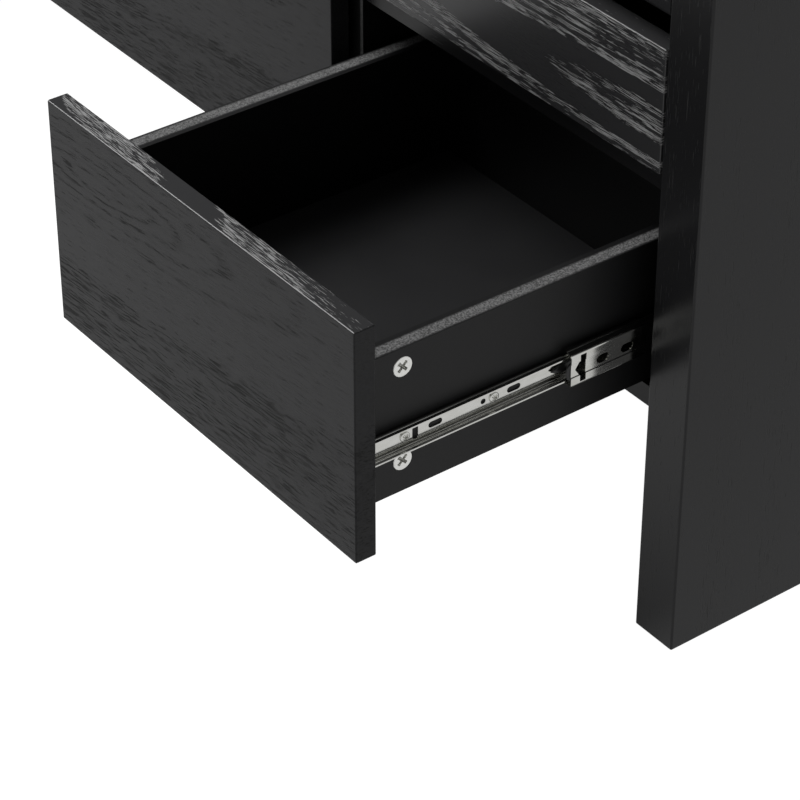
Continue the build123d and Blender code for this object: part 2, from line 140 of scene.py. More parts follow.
def black_oak(name, heart, turn, rings, pore, ground, strip=None, shine=FOIL_SHINE):
    """Embossed oak-grain foil, satin black: printed growth rings, and pores pressed in along them.

    heart is a point that the middle of the log would pass through and turn its direction: the rings are
    cylinders round that line, so a flat board cuts them in long arches.  pore gives the pores' size along,
    into and across the face, their depth, tone and rarity, and ground the tones between and along the
    rings.  strip gives a front's lower and upper corner, the zones of painted highlight streaks on its
    upper edge, a painted sheen whose pores are painted pale as highlights, and the tone of the painted
    highlight on its front corner.  shine is the specular level, matched.  Real pores are finer, too fine
    to show here.
    """
    material, tree, shader, place = started(name)
    pore_size, pore_depth, pore_tone, pore_bar = pore
    centred = add(tree, "ShaderNodeVectorMath", {0: place, 1: heart}, operation="SUBTRACT")
    log = add(tree, "ShaderNodeMapping", {"Vector": centred.outputs[0], "Rotation": turn}).outputs["Vector"]
    slow = add(tree, "ShaderNodeMapping", {"Vector": log, "Scale": per_mm(*WANDER_SIZE)})
    wander = add(tree, "ShaderNodeTexNoise", {"Vector": slow.outputs[0], "Scale": 1.0, "Detail": 4.0})
    wander = add(tree, "ShaderNodeVectorMath", {0: wander.outputs["Color"], 1: (0.5, 0.5, 0.5)},
                 operation="SUBTRACT")
    sideways = RING_WANDER * MM * 2
    bent = add(tree, "ShaderNodeVectorMath", {0: wander.outputs[0], 1: (0, sideways, sideways), 2: log},
               operation="MULTIPLY_ADD")
    flat = add(tree, "ShaderNodeVectorMath", {0: bent.outputs[0], 1: (0, 1, 1)}, operation="MULTIPLY")
    radius = add(tree, "ShaderNodeVectorMath", {0: flat.outputs[0]}, operation="LENGTH")
    share = add(tree, "ShaderNodeMath", {0: radius.outputs["Value"], 1: 1 / (RING_REACH * MM)},
                operation="MULTIPLY")
    crowd = add(tree, "ShaderNodeValToRGB", {"Fac": share.outputs[0]},
                [(distance / RING_REACH, crowded) for distance, crowded in rings])
    fine = add(tree, "ShaderNodeMapping", {"Vector": log, "Scale": per_mm(*pore_size)})
    pores = add(tree, "ShaderNodeTexNoise", {"Vector": fine.outputs[0], "Scale": 1.0, "Detail": 2.0})
    thin = add(tree, "ShaderNodeMapping", {"Vector": log, "Scale": per_mm(*THINNING)})
    thinned = add(tree, "ShaderNodeTexNoise", {"Vector": thin.outputs[0], "Scale": 1.0, "Detail": 2.0})
    more = add(tree, "ShaderNodeMapRange",
               {"Value": thinned.outputs["Fac"], "From Min": THIN_NOISE[0], "From Max": THIN_NOISE[1],
                "To Min": THIN_SHARE[0], "To Max": THIN_SHARE[1]})
    dense = add(tree, "ShaderNodeMath",
                {0: crowd.outputs["Color"], 1: more.outputs[0], 2: pores.outputs["Fac"]},
                operation="MULTIPLY_ADD")
    pit = add(tree, "ShaderNodeMapRange",
              {"Value": dense.outputs[0], "From Min": pore_bar, "From Max": pore_bar + PORE_FADE},
              interpolation_type="SMOOTHSTEP").outputs[0]
    tint = add(tree, "ShaderNodeMapRange",
               {"Value": pores.outputs["Fac"], "From Min": TINT_NOISE[0], "From Max": TINT_NOISE[1],
                "To Min": TINT_SHIFT[0], "To Max": TINT_SHIFT[1]})
    ringed = add(tree, "ShaderNodeMath", {0: crowd.outputs["Color"], 1: tint.outputs[0]}, operation="ADD")
    tone = add(tree, "ShaderNodeMix",
               {"Factor": ringed.outputs[0], "A": linear(ground[0]), "B": linear(ground[1])},
               data_type="RGBA")
    colour = add(tree, "ShaderNodeMix",
                 {"Factor": pit, "A": tone.outputs["Result"], "B": linear(pore_tone)}, data_type="RGBA")
    if strip:
        low, high, zones, arris_highlight_tone = strip
        level = add(tree, "ShaderNodeSeparateXYZ", {"Vector": place})
        edge = add(tree, "ShaderNodeMapRange",
                   {"Value": level.outputs["Z"], "From Min": high.z - STRIP_DEPTH * MM,
                    "From Max": high.z - STRIP_DEPTH * MM / 2})
        arris = add(tree, "ShaderNodeMapRange",
                    {"Value": level.outputs["Y"], "From Min": low.y + STRIP_ARRIS * MM,
                     "From Max": low.y + STRIP_ARRIS * MM / 2})
        span = Vector((1 / (high.x - low.x), STRIP_SKEW / (high.y - low.y), 0))
        along = add(tree, "ShaderNodeMapping", {"Vector": place, "Location": -low * span, "Scale": span})
        uneven = add(tree, "ShaderNodeMapping",
                     {"Vector": centred.outputs[0], "Scale": per_mm(*STRIP_WANDER)})
        stray = add(tree, "ShaderNodeTexNoise", {"Vector": uneven.outputs[0], "Scale": 1.0, "Detail": 2.0})
        length = add(tree, "ShaderNodeVectorMath", {0: along.outputs[0], 1: (1, 1, 0)},
                     operation="DOT_PRODUCT")
        length = add(tree, "ShaderNodeMath",
                     {0: stray.outputs["Fac"], 1: STRIP_STRAY, 2: length.outputs["Value"]},
                     operation="MULTIPLY_ADD")
        length = add(tree, "ShaderNodeMath", {0: length.outputs[0], 1: STRIP_STRAY / 2},
                     operation="SUBTRACT")
        zone = add(tree, "ShaderNodeValToRGB", {"Fac": length.outputs[0]}, zones)
        short = add(tree, "ShaderNodeMapping", {"Vector": centred.outputs[0], "Scale": per_mm(*STRIP_PORE)})
        streaks = add(tree, "ShaderNodeTexNoise", {"Vector": short.outputs[0], "Scale": 1.0, "Detail": 2.0})
        streaked = add(tree, "ShaderNodeMath",
                       {0: zone.outputs["Color"], 1: STRIP_SHARE, 2: streaks.outputs["Fac"]},
                       operation="MULTIPLY_ADD")
        tick = add(tree, "ShaderNodeMapRange",
                   {"Value": streaked.outputs[0], "From Min": STRIP_BAR[0], "From Max": STRIP_BAR[1]},
                   interpolation_type="SMOOTHSTEP")
        # painted sheen and painted highlights in the pores of the upper edge
        streak_highlights = add(tree, "ShaderNodeMix",
                     {"Factor": tick.outputs[0], "A": linear(STRIP_HIGHLIGHT_TONES[0]), "B": linear(STRIP_HIGHLIGHT_TONES[1])},
                     data_type="RGBA")
        # painted highlight on the front corner of the upper edge
        arris_highlit = add(tree, "ShaderNodeMix",
                   {"Factor": arris.outputs[0], "A": streak_highlights.outputs["Result"], "B": linear(arris_highlight_tone)},
                   data_type="RGBA")
        colour = add(tree, "ShaderNodeMix",
                     {"Factor": edge.outputs[0], "A": colour.outputs["Result"],
                      "B": arris_highlit.outputs["Result"]}, data_type="RGBA")
        pit = add(tree, "ShaderNodeMix",
                  {"Factor": edge.outputs[0], "A": pit, "B": tick.outputs[0]}).outputs["Result"]
    rough = add(tree, "ShaderNodeMapRange",
                {"Value": pit, "To Min": FOIL_ROUGHNESS[0], "To Max": FOIL_ROUGHNESS[1]})
    bump = add(tree, "ShaderNodeBump", {"Height": pit, "Distance": pore_depth * MM}, invert=True)
    tree.links.new(colour.outputs["Result"], shader.inputs["Base Color"])
    tree.links.new(rough.outputs[0], shader.inputs["Roughness"])
    tree.links.new(bump.outputs[0], shader.inputs["Normal"])
    shader.inputs["IOR"].default_value = FOIL_IOR
    shader.inputs["Specular IOR Level"].default_value = shine
    return material


LIT_MIDDLE = 6.1                # painted lit part of a drawer board's upper edge: its middle, in from its outer face
LIT_HALF = (2.9, 5.6)           # from the middle to where it starts and ends to fade
# tones of the painted lit band: pale speckled edge foil painted lighter where the light falls
PAINTED_LIT_TONES = ("#3c3c3c", "#808080")
ARRIS_MIDDLE = 1.7              # painted highlight on the divider's front corner: its middle, in from its right face
ARRIS_HALF = (1.0, 2.0)
# tones of the painted highlight on the divider's front corner
ARRIS_HIGHLIGHT_TONES = ("#3c3c3c", "#606060")
MELAMINE_TONE = "#0c0c0d"
MELAMINE_SHINE = 0.291          # specular level, matched
PEBBLE = 1.1                    # coarser than the real one, which is too fine to show
SPECKLE_NOISE = (0.36, 0.64)    # noise at which a speckle is darkest and brightest
LACQUER_SHINE = 0.22            # specular level of the hardboard's lacquer, matched


def black_melamine(name, lit=None):
    """Melamine-faced chipboard, matt black, with a fine pressed pebble.

    Paler, speckled foil is wrapped round the soft corners of some edges; as painted light, its pale tone
    is painted only on a band where the light falls on the edge.  lit gives the axis that the edge faces
    along, its place and the sense into the board, the axis across the board, the place of the painted lit
    middle, its half-widths where it starts and ends to fade, and its two tones.
    """
    material, tree, shader, place = started(name)
    fine = add(tree, "ShaderNodeMapping", {"Vector": place, "Scale": per_mm(PEBBLE, PEBBLE, PEBBLE)})
    pebble = add(tree, "ShaderNodeTexNoise", {"Vector": fine.outputs[0], "Scale": 1.0, "Detail": 2.0})
    rough = add(tree, "ShaderNodeMapRange", {"Value": pebble.outputs["Fac"], "To Min": 0.4, "To Max": 0.54})
    bump = add(tree, "ShaderNodeBump",
               {"Height": pebble.outputs["Fac"], "Strength": 0.5, "Distance": 0.06 * MM})
    shader.inputs["Base Color"].default_value = linear(MELAMINE_TONE)
    tree.links.new(rough.outputs[0], shader.inputs["Roughness"])
    tree.links.new(bump.outputs[0], shader.inputs["Normal"])
    shader.inputs["IOR"].default_value = FOIL_IOR
    shader.inputs["Specular IOR Level"].default_value = MELAMINE_SHINE
    if lit:
        facing, face, inwards, crossing, middle, half, tones = lit
        level = add(tree, "ShaderNodeSeparateXYZ", {"Vector": place})
        edge = add(tree, "ShaderNodeMapRange",
                   {"Value": level.outputs[facing], "From Min": face + inwards * STRIP_DEPTH * MM,
                    "From Max": face + inwards * STRIP_DEPTH * MM / 2})
        across = add(tree, "ShaderNodeMath", {0: level.outputs[crossing], 1: middle},
                     operation="SUBTRACT")
        across = add(tree, "ShaderNodeMath", {0: across.outputs[0]}, operation="ABSOLUTE")
        painted_lit = add(tree, "ShaderNodeMapRange",
                    {"Value": across.outputs[0], "From Min": half[1] * MM, "From Max": half[0] * MM,
                     "To Max": edge.outputs[0]}, interpolation_type="SMOOTHSTEP")
        speckle = add(tree, "ShaderNodeMapRange",
                      {"Value": pebble.outputs["Fac"], "From Min": SPECKLE_NOISE[0],
                       "From Max": SPECKLE_NOISE[1]})
        foil = add(tree, "ShaderNodeMix",
                   {"Factor": speckle.outputs[0], "A": linear(tones[0]), "B": linear(tones[1])},
                   data_type="RGBA")
        # painted light: the pale speckled edge foil shows only on the lit band, and the rest stays black
        # melamine
        colour = add(tree, "ShaderNodeMix",
                     {"Factor": painted_lit.outputs[0], "A": linear(MELAMINE_TONE), "B": foil.outputs["Result"]},
                     data_type="RGBA")
        tree.links.new(colour.outputs["Result"], shader.inputs["Base Color"])
    return material


def black_hardboard(name):
    """Lacquered hardboard, smooth and dull black, with the faint cloudiness of a rolled lacquer."""
    material, tree, shader, place = started(name)
    wide = add(tree, "ShaderNodeMapping", {"Vector": place, "Scale": per_mm(60.0, 60.0, 60.0)})
    cloud = add(tree, "ShaderNodeTexNoise", {"Vector": wide.outputs[0], "Scale": 1.0, "Detail": 3.0})
    colour = add(tree, "ShaderNodeMix",
                 {"Factor": cloud.outputs["Fac"], "A": linear("#1f1f20"), "B": linear("#262627")},
                 data_type="RGBA")
    rough = add(tree, "ShaderNodeMapRange", {"Value": cloud.outputs["Fac"], "To Min": 0.42, "To Max": 0.52})
    tree.links.new(colour.outputs["Result"], shader.inputs["Base Color"])
    tree.links.new(rough.outputs[0], shader.inputs["Roughness"])
    shader.inputs["IOR"].default_value = FOIL_IOR
    shader.inputs["Specular IOR Level"].default_value = LACQUER_SHINE
    return material


def zinc_steel(name):
    """Rolled steel with bright zinc plate: draw lines along the rail, and soft clouds in the plate."""
    material, tree, shader, place = started(name)
    drawn = add(tree, "ShaderNodeMapping", {"Vector": place, "Scale": per_mm(0.9, 60.0, 0.9)})
    lines = add(tree, "ShaderNodeTexNoise", {"Vector": drawn.outputs[0], "Scale": 1.0, "Detail": 2.0})
    wide = add(tree, "ShaderNodeMapping", {"Vector": place, "Scale": per_mm(5.0, 14.0, 5.0)})
    cloud = add(tree, "ShaderNodeTexNoise", {"Vector": wide.outputs[0], "Scale": 1.0, "Detail": 3.0})
    colour = add(tree, "ShaderNodeMix",
                 {"Factor": cloud.outputs["Fac"], "A": linear("#c9c9c2"), "B": linear("#ececea")},
                 data_type="RGBA")
    rough = add(tree, "ShaderNodeMapRange", {"Value": cloud.outputs["Fac"], "To Min": 0.09, "To Max": 0.17})
    bump = add(tree, "ShaderNodeBump",
               {"Height": lines.outputs["Fac"], "Strength": 0.2, "Distance": 0.02 * MM})
    tree.links.new(colour.outputs["Result"], shader.inputs["Base Color"])
    tree.links.new(rough.outputs[0], shader.inputs["Roughness"])
    tree.links.new(bump.outputs[0], shader.inputs["Normal"])
    shader.inputs["Metallic"].default_value = 1.0
    return material


def nickel_zinc(name):
    """Die-cast zinc with a satin nickel plate: pale, with the grainy skin of the casting."""
    material, tree, shader, place = started(name)
    grain = add(tree, "ShaderNodeMapping", {"Vector": place, "Scale": per_mm(0.9, 0.9, 0.9)})
    skin = add(tree, "ShaderNodeTexNoise", {"Vector": grain.outputs[0], "Scale": 1.0, "Detail": 3.0})
    colour = add(tree, "ShaderNodeMix",
                 {"Factor": skin.outputs["Fac"], "A": linear("#e6e6e2"), "B": linear("#fbfbf8")},
                 data_type="RGBA")
    rough = add(tree, "ShaderNodeMapRange", {"Value": skin.outputs["Fac"], "To Min": 0.22, "To Max": 0.34})
    bump = add(tree, "ShaderNodeBump",
               {"Height": skin.outputs["Fac"], "Strength": 0.3, "Distance": 0.05 * MM})
    tree.links.new(colour.outputs["Result"], shader.inputs["Base Color"])
    tree.links.new(rough.outputs[0], shader.inputs["Roughness"])
    tree.links.new(bump.outputs[0], shader.inputs["Normal"])
    shader.inputs["Metallic"].default_value = 1.0
    return material


def black_plastic(name):
    """Moulded black polypropylene: slightly glossy, with a fine spark-eroded mould texture."""
    material, tree, shader, place = started(name)
    fine = add(tree, "ShaderNodeMapping", {"Vector": place, "Scale": per_mm(0.6, 0.6, 0.6)})
    grit = add(tree, "ShaderNodeTexNoise", {"Vector": fine.outputs[0], "Scale": 1.0, "Detail": 1.0})
    colour = add(tree, "ShaderNodeMix",
                 {"Factor": grit.outputs["Fac"], "A": linear("#0c0c0d"), "B": linear("#141415")},
                 data_type="RGBA")
    rough = add(tree, "ShaderNodeMapRange", {"Value": grit.outputs["Fac"], "To Min": 0.3, "To Max": 0.45})
    bump = add(tree, "ShaderNodeBump",
               {"Height": grit.outputs["Fac"], "Strength": 0.3, "Distance": 0.05 * MM})
    tree.links.new(colour.outputs["Result"], shader.inputs["Base Color"])
    tree.links.new(rough.outputs[0], shader.inputs["Roughness"])
    tree.links.new(bump.outputs[0], shader.inputs["Normal"])
    shader.inputs["IOR"].default_value = 1.49
    return material


def beech(name):
    """Bare beech, pale pink-brown, with short darker flecks along the dowel."""
    material, tree, shader, place = started(name)
    fine = add(tree, "ShaderNodeMapping", {"Vector": place, "Scale": per_mm(3.0, 0.8, 0.8)})
    fleck = add(tree, "ShaderNodeTexNoise", {"Vector": fine.outputs[0], "Scale": 1.0, "Detail": 2.0})
    colour = add(tree, "ShaderNodeMix",
                 {"Factor": fleck.outputs["Fac"], "A": linear("#a9805a"), "B": linear("#d9b48a")},
                 data_type="RGBA")
    tree.links.new(colour.outputs["Result"], shader.inputs["Base Color"])
    shader.inputs["Roughness"].default_value = 0.6
    return material


def dress(node, material):
    """Gives a CAD node its finish."""
    slots = nodes[node].data.materials
    slots.clear()
    slots.append(material)


# Small turned and moulded pieces
WELD = 1e-5                 # metres; CAD points closer than this are one point
STEPS_ROUND = 36            # points round a screw or bolt
CAM_STEPS = 56              # points round a cam
THREAD_PITCH = 1.5          # millimetres, as are the sizes below
THREAD_DEPTH = 0.45
THREAD_ROWS = 4             # rows of points in each turn of a screw's thread
RECESS_SLOPE = 0.35         # width of a recess's sloped walls
HEAD_SHARE = 0.8            # a screw's points further out than this share of the widest are its head's
SCREW_POINT = 1.6           # length of a screw's point, in radii of its shank
SCREW_RIM = 0.55            # share of a screw head's height that is dome
SCREW_CROSS = (1.25, 0.3)   # span and width of the cross, in radii of the head
SCREW_CROSS_DEPTH = 0.95    # in heights of the head
BOLT_SHARE = 0.7            # fittings over this share of the longest are bolts, the others cams
CAM_WALL = (0, 0.5, 1, 1, 1, 0.955, 0.9)    # from the back to the rim, in radii of the cam
CAM_RIM = (0.4, 0, 0.12)    # depth of the chamfer's foot, of the rim and of the step inside it
CAM_FACE = 0.89             # face inside the rim, in radii of the cam
CAM_DISH = 0.15             # depth of the face
CAM_CROSS = (1.15, 0.22)    # span and width of the cross, in radii of the cam
CAM_CROSS_DEPTH = 4.5
BOLT_BALL = 0.75            # in radii of the bolt
BOLT_RADII = (0.45, 0.45, 0.95, 0.95, 1, 1)             # neck, shoulder and collar
BOLT_PLACES = (0.17, 0.26, 0.28, 0.66, 0.67, 0.73)      # their ends, in lengths of the bolt
BOLT_THREAD = (0.74, 0.985)
BALL_PITCH = 6.6
CAGE_WAIST = (0.62, 0.2)    # middle and swing of a cage's half-width, in half-widths of its solid
CAGE_THICK = 0.35           # in thicknesses of its solid
LEVER_WIDENING = (0.3, 0.8)     # share of the length over which a lever widens, and the power
LEVER_SWELLING = (0.12, 0.5)    # the same for its thickness
LEVER_DIP = (0.35, 0.72, 0.12)  # depth, place and width of the dip in its outer face
LEVER_SQUARE = 0.5          # power that squares off its section
BUMPER_HALF = 6.5           # half the height of a rail's bumper
BUMPER_REACH = 4.2          # how far it stands out in front of the rail
BUMPER_THICK = 1.5
BUMPER_INSET = 0.7          # from the outer face of the rail's web to the bumper's middle
BUMPER_SQUARE = 0.6         # power that squares off its section
SHARP_ANGLE = math.radians(38)


def solids(node):
    """Points of each separate solid of a CAD node.

    Points that coincide are one; each takes the lowest label among its triangles' corners, until
    the labels stay as they are, and what shares a label is one solid.
    """
    mesh = nodes[node].data
    mesh.calc_loop_triangles()
    points = np.empty(3 * len(mesh.vertices))
    corners = np.empty(3 * len(mesh.loop_triangles), dtype=np.int32)
    mesh.vertices.foreach_get("co", points)
    mesh.loop_triangles.foreach_get("vertices", corners)
    points = points.reshape(-1, 3)
    same = np.unique(np.round(points / WELD), axis=0, return_inverse=True)[1].ravel()
    corners = same[corners].reshape(-1, 3)
    labels = np.arange(same.max() + 1)
    settled = False
    while not settled:
        before = labels.copy()
        np.minimum.at(labels, corners.ravel(), np.repeat(labels[corners].min(axis=1), 3))
        labels = labels[labels]
        settled = np.array_equal(before, labels)
    return [points[labels[same] == label] for label in np.unique(labels)]


def turned(radius, depth):
    """Surface of revolution, rows along it and columns round it: (radius cos, radius sin, depth)."""
    radius, depth = np.broadcast_arrays(radius, depth)
    around = np.linspace(0, 2 * np.pi, radius.shape[1], endpoint=False)
    return np.stack((radius * np.cos(around), radius * np.sin(around), depth), axis=-1)


def placed(grid, origin, axis, sense):
    """Grid in millimetres set down at origin, with its third coordinate along an axis of the frame."""
    out = np.empty(grid.shape)
    out[..., axis] = sense * grid[..., 2]
    out[..., (axis + 1) % 3] = grid[..., 0]
    out[..., (axis + 2) % 3] = sense * grid[..., 1]
    return np.asarray(origin) + out * MM


def cross_recess(radius, span, wide, deep):
    """Depth of a cross pressed into a round face: the deeper of two strips with sloped walls."""
    around = np.linspace(0, 2 * np.pi, radius.shape[1], endpoint=False) + np.pi / 4
    along, across = np.abs(radius * np.cos(around)), np.abs(radius * np.sin(around))

    def inside(distance, limit):
        return np.clip((limit - distance) / RECESS_SLOPE + 0.5, 0, 1)

    first = inside(across, wide / 2) * inside(along, span / 2)
    second = inside(along, wide / 2) * inside(across, span / 2)
    return deep * np.maximum(first, second)


def threaded(radius, depth):
    """Radius of a screw thread: a triangle wave along the depth that turns once round in each pitch."""
    around = np.linspace(0, 1, STEPS_ROUND, endpoint=False)
    wave = np.abs((depth / THREAD_PITCH - around) % 1 * 2 - 1)
    return radius - THREAD_DEPTH * wave


def closed_mesh(name, grids, material, body, slot, *stands_for):
    """One piece made of closed grids (rows, columns, xyz): columns wrap round, and end rows are points."""
    points, quads, count = [], [], 0
    for grid in grids:
        rows, columns = grid.shape[:2]
        index = count + np.arange(rows * columns).reshape(rows, columns)
        beside = np.roll(index, -1, axis=1)
        quads.append(np.stack((index[:-1], beside[:-1], beside[1:], index[1:]), axis=-1).reshape(-1, 4))
        points.append(grid.reshape(-1, 3))
        count += rows * columns
    mesh = bpy.data.meshes.new(name)
    mesh.from_pydata(np.concatenate(points), [], np.concatenate(quads))
    shape = bmesh.new()
    shape.from_mesh(mesh)
    bmesh.ops.remove_doubles(shape, verts=shape.verts, dist=WELD / 10)
    bmesh.ops.recalc_face_normals(shape, faces=shape.faces)
    shape.to_mesh(mesh)
    shape.free()
    mesh.shade_smooth()
    mesh.set_sharp_from_angle(angle=SHARP_ANGLE)
    mesh.materials.append(material)
    piece = bpy.data.objects.new(name, mesh)
    scene.collection.objects.link(piece)
    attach(piece, body)
    if stands_for:
        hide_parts(*stands_for)
    return piece


def pan_head_screws(node, body, material):
    """Screws with a cross: up the thread from the point, out under the head, up its rim and over its dome.

    The thread's radius is a helical wave, the dome a quarter ellipse, and the cross is added to its depth.
    """
    grids = []
    for points in solids(node):
        spread = np.ptp(points, axis=0)
        axis = int(spread.argmax())
        middle = (points.min(axis=0) + points.max(axis=0)) / 2
        reach = np.linalg.norm(np.delete(points - middle, axis, axis=1), axis=1)
        of_head = reach > HEAD_SHARE * reach.max()
        sense = 1 if points[of_head, axis].mean() < middle[axis] else -1
        origin = middle.copy()
        origin[axis] -= sense * spread[axis] / 2
        head_radius, shank_radius = reach.max() / MM, reach[~of_head].max() / MM
        head, length = np.ptp(points[of_head, axis]) / MM, spread[axis] / MM
        ring = np.ones(STEPS_ROUND)
        taper = np.linspace(0, 1, 4)[:, None]
        point = (taper * shank_radius * ring, (length - SCREW_POINT * shank_radius * taper) * ring)
        steps = int(length / THREAD_PITCH * THREAD_ROWS)
        shank_depth = np.linspace(length - SCREW_POINT * shank_radius, head, steps)[:, None]
        shank = (threaded(shank_radius, shank_depth), shank_depth * ring)
        rise = np.linspace(0, np.pi / 2, 16)[:, None]
        dome_radius = head_radius * np.cos(rise) * ring
        recess = cross_recess(dome_radius, SCREW_CROSS[0] * head_radius, SCREW_CROSS[1] * head_radius,
                              SCREW_CROSS_DEPTH * head)
        dome = (dome_radius, SCREW_RIM * head * (1 - np.sin(rise)) + recess)
        under = (head_radius * ring[None], head * ring[None])
        rows = [np.concatenate(kind) for kind in zip(point, shank, under, dome)]
        grids.append(placed(turned(*rows), origin, axis, sense))
    return closed_mesh(f"cross_{node}", grids, material, body, "zinc_steel", node)


def cams_and_bolts(node, body, material):
    """Cams with a crossed face and a chamfered rim, and bolts with a thread, shoulder, neck and ball.

    Both are turned: the cam's rows run from its back up its wall and over its face, with the cross added to
    the depth, and the bolt's from its ball along the neck and shoulder to the threaded end.
    """
    lying = solids(node)
    spans = [np.ptp(points, axis=0) for points in lying]
    longest = max(span.max() for span in spans)
    cams = [points for points, span in zip(lying, spans) if span.max() < BOLT_SHARE * longest]
    bolts = [points for points, span in zip(lying, spans) if span.max() >= BOLT_SHARE * longest]
    centres = np.array([(points.min(axis=0) + points.max(axis=0)) / 2 for points in cams])
    grids = []
    for points in cams:
        low, high = points.min(axis=0), points.max(axis=0)
        axis = int((high - low).argmin())
        at_low = np.abs(points[:, axis] - low[axis]) < WELD
        at_high = np.abs(points[:, axis] - high[axis]) < WELD
        sense = 1 if at_low.sum() > at_high.sum() else -1
        origin = (low + high) / 2
        origin[axis] = low[axis] if sense > 0 else high[axis]
        radius, thick = (high - low).max() / 2 / MM, (high - low)[axis] / MM
        ring = np.ones(CAM_STEPS)
        wall_radius = np.array(CAM_WALL)[:, None] * radius * ring
        wall_depth = np.array([thick, thick, thick, thick / 2, *CAM_RIM])[:, None] * ring
        face_radius = np.linspace(CAM_FACE, 0, 30)[:, None] * radius * ring
        recess = cross_recess(face_radius, CAM_CROSS[0] * radius, CAM_CROSS[1] * radius, CAM_CROSS_DEPTH)
        rows = (np.concatenate((wall_radius, face_radius)), np.concatenate((wall_depth, CAM_DISH + recess)))
        grids.append(placed(turned(*rows), origin, axis, sense))
    for points in bolts:
        low, high = points.min(axis=0), points.max(axis=0)
        axis = int((high - low).argmax())
        middle = (low + high) / 2
        cam = centres[np.linalg.norm(centres - middle, axis=1).argmin()]
        sense = 1 if cam[axis] < middle[axis] else -1
        origin = middle.copy()
        origin[axis] = low[axis] if sense > 0 else high[axis]
        radius, length = np.ptp(points, axis=0).min() / 2 / MM, (high - low)[axis] / MM
        ball = np.linspace(0, np.pi, 9)[:-2, None]
        ring = np.ones(STEPS_ROUND)
        thread_depth = np.linspace(*BOLT_THREAD, 30)[:, None] * length
        rows_radius = [BOLT_BALL * radius * np.sin(ball) * ring,
                       np.array(BOLT_RADII)[:, None] * radius * ring,
                       threaded(radius, thread_depth), np.zeros((1, STEPS_ROUND))]
        rows_depth = [BOLT_BALL * radius * (1 - np.cos(ball)) * ring,
                      np.array(BOLT_PLACES)[:, None] * length * ring,
                      thread_depth * ring, np.full((1, STEPS_ROUND), length)]
        rows = (np.concatenate(rows_radius), np.concatenate(rows_depth))
        grids.append(placed(turned(*rows), origin, axis, sense))
    return closed_mesh(f"crossed_{node}", grids, material, body, "nickel_zinc", node)


def ball_strips(node, body, material):
    """Cages as waisted strips with balls.

    Along a strip the half-width is a cosine, widest at each ball, and the section is a rectangle.
    """
    grids = []
    for points in solids(node):
        low, high = points.min(axis=0), points.max(axis=0)
        middle, half = (low + high) / 2, (high - low) / 2 / MM
        count = int(2 * half[1] / BALL_PITCH)
        reach = (count - 1) / 2 * BALL_PITCH
        along = np.linspace(-1, 1, 8 * count)[:, None]
        ends = np.where(np.abs(along) == 1, 0.0, 1.0)
        around = np.linspace(0, 2 * np.pi, 8, endpoint=False) + np.pi / 8
        swing = np.cos(2 * np.pi * (along * half[1] + reach) / BALL_PITCH)
        waist = CAGE_WAIST[0] + CAGE_WAIST[1] * swing
        square = np.maximum(np.abs(np.cos(around)), np.abs(np.sin(around)))
        across = ends * waist * half[0] * np.cos(around) / square
        up = ends * CAGE_THICK * half[2] * np.sin(around) / square
        strip = np.stack(np.broadcast_arrays(across, along * half[1], up), axis=-1)
        grids.append(middle + strip * MM)
        tall = np.linspace(0, np.pi, 7)[:, None]
        ball = min(half[0], half[2]) * turned(np.sin(tall) * np.ones(8), np.cos(tall))
        grids += [middle + (ball + (0, place, 0)) * MM for place in np.linspace(-reach, reach, count)]
    return closed_mesh(f"caged_{node}", grids, material, body, "zinc_steel", node)


def moulded_levers(node, body, material):
    """Pointed tongues: the half-width is a power of the distance from the tip, up to a limit.

    The section is a superellipse, and its outer face has a bell-shaped dip near the root.
    """
    grids = []
    for points in solids(node):
        low, high = points.min(axis=0), points.max(axis=0)
        middle, half = (low + high) / 2, (high - low) / 2 / MM
        along = (1 - np.cos(np.linspace(0, np.pi, 28)))[:, None] / 2
        around = np.linspace(0, 2 * np.pi, 20, endpoint=False)
        wide = np.clip(along / LEVER_WIDENING[0], 0, 1) ** LEVER_WIDENING[1] * np.where(along == 1, 0, 1)
        thick = np.clip(along / LEVER_SWELLING[0], 0, 1) ** LEVER_SWELLING[1] * np.where(along == 1, 0, 1)
        dip = 1 - LEVER_DIP[0] * np.exp(-((along - LEVER_DIP[1]) / LEVER_DIP[2]) ** 2)
        cos, sin = np.cos(around), np.sin(around)
        across = np.sign(cos) * np.abs(cos) ** LEVER_SQUARE
        up = np.sign(sin) * np.abs(sin) ** LEVER_SQUARE
        outwards = half[0] * thick * across * np.where(across > 0, dip, 1)
        tongue = np.stack(np.broadcast_arrays(outwards, half[1] * (2 * along - 1), half[2] * wide * up),
                          axis=-1)
        grids.append(middle + tongue * MM)
    return closed_mesh(f"moulded_{node}", grids, material, body, "black_plastic", node)


